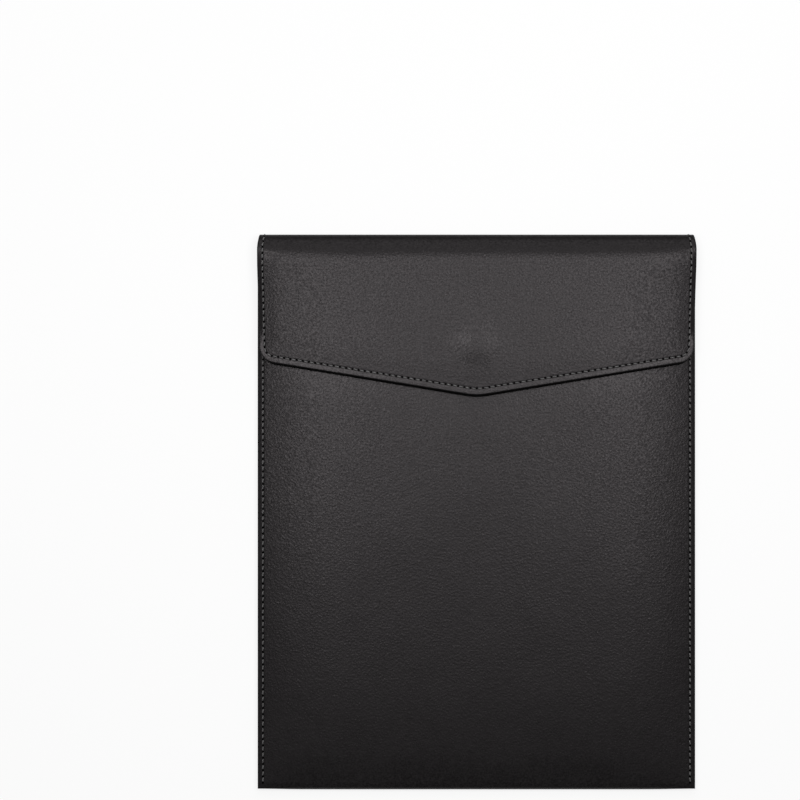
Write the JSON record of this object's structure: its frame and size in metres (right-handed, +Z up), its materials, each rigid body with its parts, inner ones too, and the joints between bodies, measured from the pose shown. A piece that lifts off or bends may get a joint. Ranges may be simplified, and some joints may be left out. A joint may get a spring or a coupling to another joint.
{
  "type": "document wallet",
  "caption": "Flat lined leather wallet for loose sheets: a pocket sewn at both sides, with a thumb scoop, and a pointed flap that folds over a spine and holds by a magnetic snap.",
  "frame": {"origin": "centre of the wallet's outline, on the surface that it lies on", "axes": "+X across the wallet, +Y from the bottom fold towards the top fold, +Z up out of the front"},
  "size_m": [0.245, 0.3106, 0.0141],
  "materials": {
    "leather": "black, fine grained, semi-matt",
    "lining": "warm grey, fine woven, matt",
    "board": "grey board",
    "thread": "black polyester thread, slight gloss",
    "snap_steel": "nickel plated, polished",
    "magnet": "dark sintered"
  },
  "bodies": {
    "pocket": {"back_leather": "leather", "back_board": "board", "back_lining": "lining", "left_margin_lining": "lining", "right_margin_lining": "lining", "bottom_fold_leather": "leather", "bottom_fold_lining": "lining", "front_leather": "leather", "front_board": "board", "front_lining": "lining", "left_seam_stitches": "thread", "right_seam_stitches": "thread", "snap_socket_base": "snap_steel", "snap_magnet": "magnet", "snap_socket_cover": "snap_steel", "snap_socket_washer": "snap_steel"},
    "spine": {"spine_leather": "leather", "spine_lining": "lining", "spine_stitches": "thread"},
    "flap": {"flap_leather": "leather", "flap_board": "board", "flap_facing": "leather", "flap_lining": "lining", "flap_stitches": "thread", "snap_stud": "snap_steel", "snap_stud_washer": "snap_steel"}
  },
  "joints": [
    {"name": "spine_fold", "type": "hinge", "parent": "pocket", "child": "spine", "pos_m": [0, 0.1547, 0.00065], "axis": [-1, 0, 0], "range_deg": [0, 90]},
    {"name": "flap_fold", "type": "hinge", "parent": "spine", "child": "flap", "pos_m": [0, 0.1547, 0.01345], "axis": [-1, 0, 0], "range_deg": [0, 90]}
  ]
}
